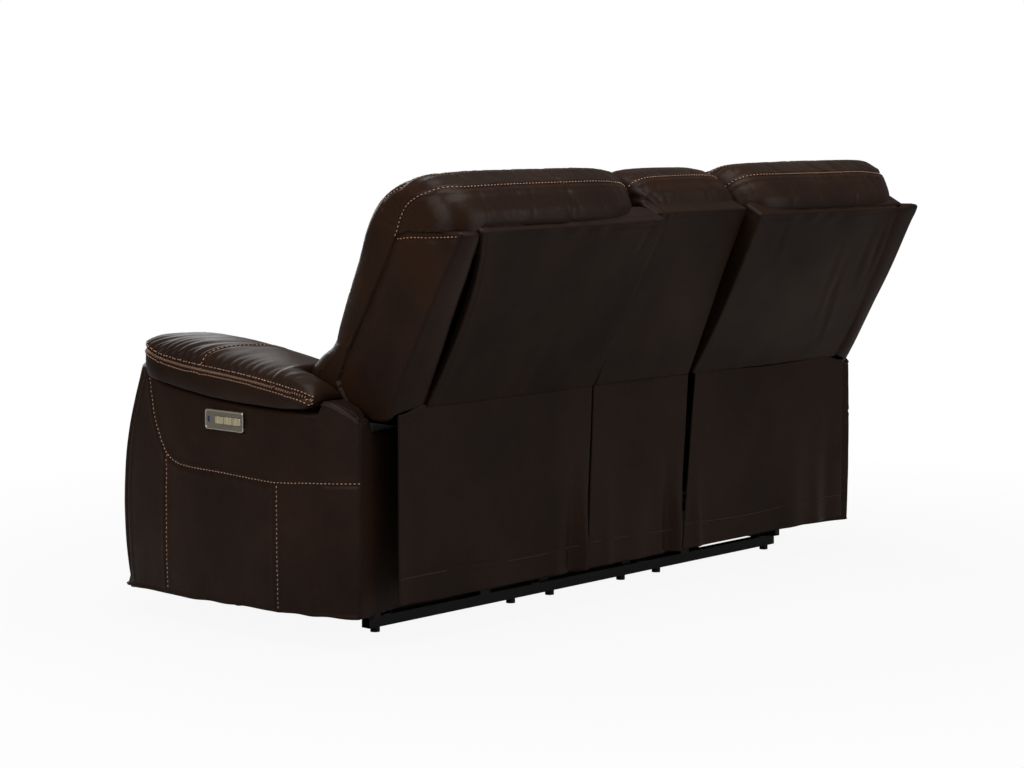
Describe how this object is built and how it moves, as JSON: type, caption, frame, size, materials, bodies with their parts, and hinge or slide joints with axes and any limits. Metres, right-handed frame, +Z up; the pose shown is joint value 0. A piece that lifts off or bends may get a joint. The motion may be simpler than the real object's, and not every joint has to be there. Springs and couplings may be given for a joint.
{
  "type": "reclining loveseat",
  "caption": "Power reclining loveseat in dark brown leather with tan top stitching, padded arms, a fixed centre console and hanging rear flaps over a black steel base.",
  "frame": {"origin": "on the floor, under the middle of the whole loveseat with its backs upright", "axes": "+X to the sitter's left, -Y to the front, +Z up"},
  "size_m": [1.953, 1.0456, 1.0482],
  "materials": {
    "leather": "dark brown bonded leather, satin",
    "black_steel": "black powder coat",
    "glide_plastic": "moulded nylon",
    "plywood": "sawn plywood",
    "nickel": "satin nickel plate",
    "steel": "brushed stainless",
    "black_plastic": "black plastic",
    "spring_steel": "oiled spring wire",
    "blue_plastic": "blue plastic"
  },
  "bodies": {
    "root": {"cross_rails": "black_steel", "side_rails": "black_steel", "floor_glides": "glide_plastic", "arm_frames": "plywood", "left_arm_cover": "leather", "right_arm_cover": "leather", "left_arm_pad": "leather", "right_arm_pad": "leather", "control_plates": "nickel", "usb_sockets": "blue_plastic", "console_box": "leather", "cup_tray": "black_plastic", "cup_holders": "steel", "console_back_frame": "plywood", "console_back_cushion": "leather", "console_back_panel": "leather", "console_rear_flap": "leather", "recline_motors": "black_plastic"},
    "console_lid": {"console_lid_board": "plywood", "console_lid_pad": "leather"},
    "left_seat": {"left_seat_frame": "plywood", "left_seat_springs": "spring_steel", "left_seat_cushion": "leather", "left_seat_mechanism": "black_steel", "left_footrest_motor": "black_plastic"},
    "left_back": {"left_back_frame": "plywood", "left_back_cushion": "leather", "left_back_wing": "leather", "left_back_panel": "leather", "left_headrest_motor": "black_plastic"},
    "left_headrest": {"left_headrest_cushion": "leather", "left_headrest_bracket": "black_steel"},
    "left_flap": {"left_rear_flap": "leather"},
    "left_rear_links": {"left_rear_links": "black_steel"},
    "left_front_links": {"left_front_links": "black_steel"},
    "left_footrest": {"left_footrest_board": "plywood", "left_footrest_pad": "leather"},
    "left_back_key": {"left_back_key": "nickel"},
    "left_footrest_key": {"left_footrest_key": "nickel"},
    "left_headrest_key": {"left_headrest_key": "nickel"},
    "right_seat": {"right_seat_frame": "plywood", "right_seat_springs": "spring_steel", "right_seat_cushion": "leather", "right_seat_mechanism": "black_steel", "right_footrest_motor": "black_plastic"},
    "right_back": {"right_back_frame": "plywood", "right_back_cushion": "leather", "right_back_wing": "leather", "right_back_panel": "leather", "right_headrest_motor": "black_plastic"},
    "right_headrest": {"right_headrest_cushion": "leather", "right_headrest_bracket": "black_steel"},
    "right_flap": {"right_rear_flap": "leather"},
    "right_rear_links": {"right_rear_links": "black_steel"},
    "right_front_links": {"right_front_links": "black_steel"},
    "right_footrest": {"right_footrest_board": "plywood", "right_footrest_pad": "leather"},
    "right_back_key": {"right_back_key": "nickel"},
    "right_footrest_key": {"right_footrest_key": "nickel"},
    "right_headrest_key": {"right_headrest_key": "nickel"}
  },
  "joints": [
    {"name": "console_lid_hinge", "type": "hinge", "parent": "root", "child": "console_lid", "pos_m": [0, -0.00694, 0.549], "axis": [-1, 0, 0], "range_deg": [0, 75]},
    {"name": "left_seat_glide", "type": "slide", "parent": "root", "child": "left_seat", "axis": [0, -1, 0], "range_m": [0, 0.07]},
    {"name": "left_recline", "type": "hinge", "parent": "left_seat", "child": "left_back", "pos_m": [0, 0.22806, 0.43], "axis": [-1, 0, 0], "range_deg": [0, 36.01]},
    {"name": "left_headrest_tilt", "type": "hinge", "parent": "left_back", "child": "left_headrest", "pos_m": [0, 0.24346, 0.892], "axis": [1, 0, 0], "range_deg": [0, 35]},
    {"name": "left_flap_swing", "type": "hinge", "parent": "left_back", "child": "left_flap", "pos_m": [0, 0.30106, 0.537], "axis": [-1, 0, 0], "range_deg": [-36.01, 0]},
    {"name": "left_footrest_lift", "type": "hinge", "parent": "left_seat", "child": "left_rear_links", "pos_m": [0, -0.37194, 0.31], "axis": [-1, 0, 0], "range_deg": [0, 70]},
    {"name": "left_link_fold", "type": "hinge", "parent": "left_rear_links", "child": "left_front_links", "pos_m": [0, -0.3885, 0.12072], "axis": [-1, 0, 0], "range_deg": [-140, 0]},
    {"name": "left_footrest_turn", "type": "hinge", "parent": "left_front_links", "child": "left_footrest", "pos_m": [0, -0.40506, 0.31], "axis": [-1, 0, 0], "range_deg": [0, 160.01]},
    {"name": "left_back_key_rock", "type": "hinge", "parent": "root", "child": "left_back_key", "pos_m": [0.9724, -0.06624, 0.485], "axis": [0, 0, 1], "range_deg": [-4, 4], "stiffness_Nm_per_rad": 0.4},
    {"name": "left_footrest_key_rock", "type": "hinge", "parent": "root", "child": "left_footrest_key", "pos_m": [0.9724, -0.09524, 0.485], "axis": [0, 0, 1], "range_deg": [-4, 4], "stiffness_Nm_per_rad": 0.4},
    {"name": "left_headrest_key_rock", "type": "hinge", "parent": "root", "child": "left_headrest_key", "pos_m": [0.9724, -0.12424, 0.485], "axis": [0, 0, 1], "range_deg": [-4, 4], "stiffness_Nm_per_rad": 0.4},
    {"name": "right_seat_glide", "type": "slide", "parent": "root", "child": "right_seat", "axis": [0, -1, 0], "range_m": [0, 0.07]},
    {"name": "right_recline", "type": "hinge", "parent": "right_seat", "child": "right_back", "pos_m": [0, 0.22806, 0.43], "axis": [-1, 0, 0], "range_deg": [0, 36.01]},
    {"name": "right_headrest_tilt", "type": "hinge", "parent": "right_back", "child": "right_headrest", "pos_m": [0, 0.24346, 0.892], "axis": [1, 0, 0], "range_deg": [0, 35]},
    {"name": "right_flap_swing", "type": "hinge", "parent": "right_back", "child": "right_flap", "pos_m": [0, 0.30106, 0.537], "axis": [-1, 0, 0], "range_deg": [-36.01, 0]},
    {"name": "right_footrest_lift", "type": "hinge", "parent": "right_seat", "child": "right_rear_links", "pos_m": [0, -0.37194, 0.31], "axis": [-1, 0, 0], "range_deg": [0, 70]},
    {"name": "right_link_fold", "type": "hinge", "parent": "right_rear_links", "child": "right_front_links", "pos_m": [0, -0.3885, 0.12072], "axis": [-1, 0, 0], "range_deg": [-140, 0]},
    {"name": "right_footrest_turn", "type": "hinge", "parent": "right_front_links", "child": "right_footrest", "pos_m": [0, -0.40506, 0.31], "axis": [-1, 0, 0], "range_deg": [0, 160.01]},
    {"name": "right_back_key_rock", "type": "hinge", "parent": "root", "child": "right_back_key", "pos_m": [-0.9724, -0.06624, 0.485], "axis": [0, 0, 1], "range_deg": [-4, 4], "stiffness_Nm_per_rad": 0.4},
    {"name": "right_footrest_key_rock", "type": "hinge", "parent": "root", "child": "right_footrest_key", "pos_m": [-0.9724, -0.09524, 0.485], "axis": [0, 0, 1], "range_deg": [-4, 4], "stiffness_Nm_per_rad": 0.4},
    {"name": "right_headrest_key_rock", "type": "hinge", "parent": "root", "child": "right_headrest_key", "pos_m": [-0.9724, -0.12424, 0.485], "axis": [0, 0, 1], "range_deg": [-4, 4], "stiffness_Nm_per_rad": 0.4}
  ],
  "couplings": [
    {"joint": "left_recline", "follows": "left_seat_glide", "rad_per_m": 8.976},
    {"joint": "left_flap_swing", "follows": "left_seat_glide", "rad_per_m": -8.976},
    {"joint": "left_link_fold", "follows": "left_footrest_lift", "ratio": -2},
    {"joint": "left_footrest_turn", "follows": "left_footrest_lift", "ratio": 2.2857},
    {"joint": "right_recline", "follows": "right_seat_glide", "rad_per_m": 8.976},
    {"joint": "right_flap_swing", "follows": "right_seat_glide", "rad_per_m": -8.976},
    {"joint": "right_link_fold", "follows": "right_footrest_lift", "ratio": -2},
    {"joint": "right_footrest_turn", "follows": "right_footrest_lift", "ratio": 2.2857}
  ]
}
